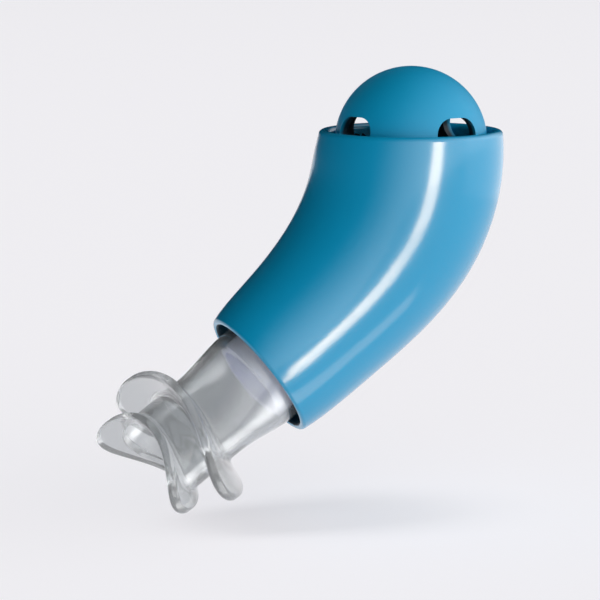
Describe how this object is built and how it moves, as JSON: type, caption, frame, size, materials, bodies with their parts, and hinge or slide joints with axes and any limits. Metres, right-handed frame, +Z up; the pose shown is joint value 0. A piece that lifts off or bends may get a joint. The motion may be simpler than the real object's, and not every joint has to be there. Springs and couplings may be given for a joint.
{
  "type": "positive expiratory pressure device",
  "caption": "Hand-held breathing device with a bent blue casing, a windowed dome over a bouncing steel ball, and a clear flanged mouthpiece on a swivel connector.",
  "frame": {"origin": "point on the casing's centreline where the hand closes round it", "axes": "+Z up along the axis of the dome and the ball, -X towards the mouthpiece, which leaves 54.5 degrees from straight down"},
  "size_m": [0.1002, 0.049, 0.105],
  "materials": {
    "casing_plastic": "glossy",
    "dome_plastic": "satin gloss",
    "steel": "polished",
    "cone_plastic": "smooth",
    "duct_plastic": "smooth",
    "connector_plastic": "milky",
    "seal_rubber": "soft",
    "clear_silicone": "clear"
  },
  "bodies": {
    "casing": {"outer_casing": "casing_plastic", "air_duct": "duct_plastic", "ball_cone": "cone_plastic", "cone_gasket": "seal_rubber"},
    "cover": {"dome_cover": "dome_plastic"},
    "ball": {"steel_ball": "steel"},
    "connector": {"swivel_connector": "connector_plastic", "swivel_seal": "seal_rubber"},
    "mouthpiece": {"mouthpiece": "clear_silicone"}
  },
  "joints": [
    {"name": "ball_lift", "type": "slide", "parent": "casing", "child": "ball", "axis": [0, 0, 1], "range_m": [0, 0.0168]},
    {"name": "cover_lift", "type": "slide", "parent": "casing", "child": "cover", "axis": [0, 0, 1], "range_m": [0, 0.03]},
    {"name": "connector_swivel", "type": "hinge", "parent": "casing", "child": "connector", "pos_m": [-0.03228, 0, -0.03117], "axis": [-0.8141, 0, -0.5807], "continuous": true},
    {"name": "mouthpiece_pull", "type": "slide", "parent": "connector", "child": "mouthpiece", "axis": [-0.8141, 0, -0.5807], "range_m": [0, 0.014]}
  ]
}
